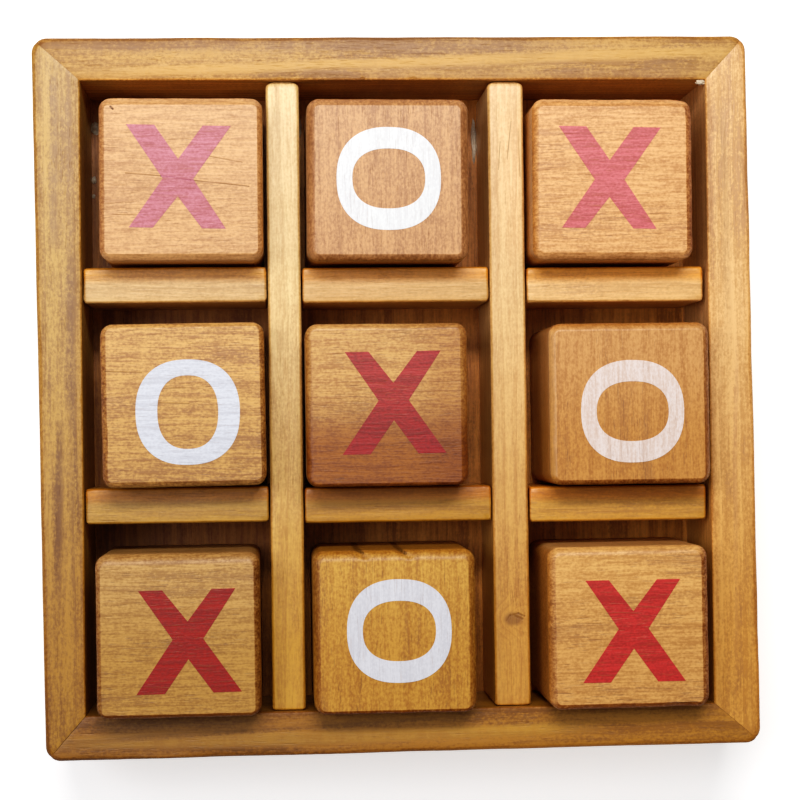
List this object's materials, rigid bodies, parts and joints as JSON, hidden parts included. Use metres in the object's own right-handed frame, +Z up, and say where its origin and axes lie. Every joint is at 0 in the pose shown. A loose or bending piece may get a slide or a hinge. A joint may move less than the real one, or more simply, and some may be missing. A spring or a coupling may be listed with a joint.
{
  "type": "tic tac toe set",
  "caption": "Square wooden game tray with mitred rails and a grid of dividers that holds loose cube pieces marked with a red X or a white O.",
  "frame": {"origin": "centre of the tray's footprint, at the level of its underside", "axes": "+Z up out of the open top of the tray, +X to the player's right, +Y away from the player"},
  "size_m": [0.1028, 0.1022, 0.0259],
  "materials": {
    "rail_wood": "satin amber stain with darker streaks along the grain",
    "base_wood": "matt stained plywood panel",
    "divider_wood": "pale satin wood, lightly sealed",
    "block_wood": "satin lacquer over fine grain, darker rounded edges",
    "red_ink": "thin printed ink, wood grain showing through",
    "white_ink": "thin printed ink, wood grain showing through"
  },
  "bodies": {
    "tray": {"back_rail": "rail_wood", "front_rail": "rail_wood", "left_rail": "rail_wood", "right_rail": "rail_wood", "base_panel": "base_wood", "left_divider": "divider_wood", "right_divider": "divider_wood", "back_left_rung": "divider_wood", "back_centre_rung": "divider_wood", "back_right_rung": "divider_wood", "front_left_rung": "divider_wood", "front_centre_rung": "divider_wood", "front_right_rung": "divider_wood"},
    "back_left_piece": {"back_left_block": "block_wood", "back_left_cross_mark": "red_ink"},
    "back_centre_piece": {"back_centre_block": "block_wood", "back_centre_ring_mark": "white_ink"},
    "back_right_piece": {"back_right_block": "block_wood", "back_right_cross_mark": "red_ink"},
    "middle_left_piece": {"middle_left_block": "block_wood", "middle_left_ring_mark": "white_ink"},
    "middle_centre_piece": {"middle_centre_block": "block_wood", "middle_centre_cross_mark": "red_ink"},
    "middle_right_piece": {"middle_right_block": "block_wood", "middle_right_ring_mark": "white_ink"},
    "front_left_piece": {"front_left_block": "block_wood", "front_left_cross_mark": "red_ink"},
    "front_centre_piece": {"front_centre_block": "block_wood", "front_centre_ring_mark": "white_ink"},
    "front_right_piece": {"front_right_block": "block_wood", "front_right_cross_mark": "red_ink"}
  },
  "joints": [
    {"name": "back_left_lift", "type": "slide", "parent": "tray", "child": "back_left_piece", "axis": [0, 0, 1], "range_m": [0, 0.035]},
    {"name": "back_centre_lift", "type": "slide", "parent": "tray", "child": "back_centre_piece", "axis": [0, 0, 1], "range_m": [0, 0.035]},
    {"name": "back_right_lift", "type": "slide", "parent": "tray", "child": "back_right_piece", "axis": [0, 0, 1], "range_m": [0, 0.035]},
    {"name": "middle_left_lift", "type": "slide", "parent": "tray", "child": "middle_left_piece", "axis": [0, 0, 1], "range_m": [0, 0.035]},
    {"name": "middle_centre_lift", "type": "slide", "parent": "tray", "child": "middle_centre_piece", "axis": [0, 0, 1], "range_m": [0, 0.035]},
    {"name": "middle_right_lift", "type": "slide", "parent": "tray", "child": "middle_right_piece", "axis": [0, 0, 1], "range_m": [0, 0.035]},
    {"name": "front_left_lift", "type": "slide", "parent": "tray", "child": "front_left_piece", "axis": [0, 0, 1], "range_m": [0, 0.035]},
    {"name": "front_centre_lift", "type": "slide", "parent": "tray", "child": "front_centre_piece", "axis": [0, 0, 1], "range_m": [0, 0.035]},
    {"name": "front_right_lift", "type": "slide", "parent": "tray", "child": "front_right_piece", "axis": [0, 0, 1], "range_m": [0, 0.035]}
  ]
}
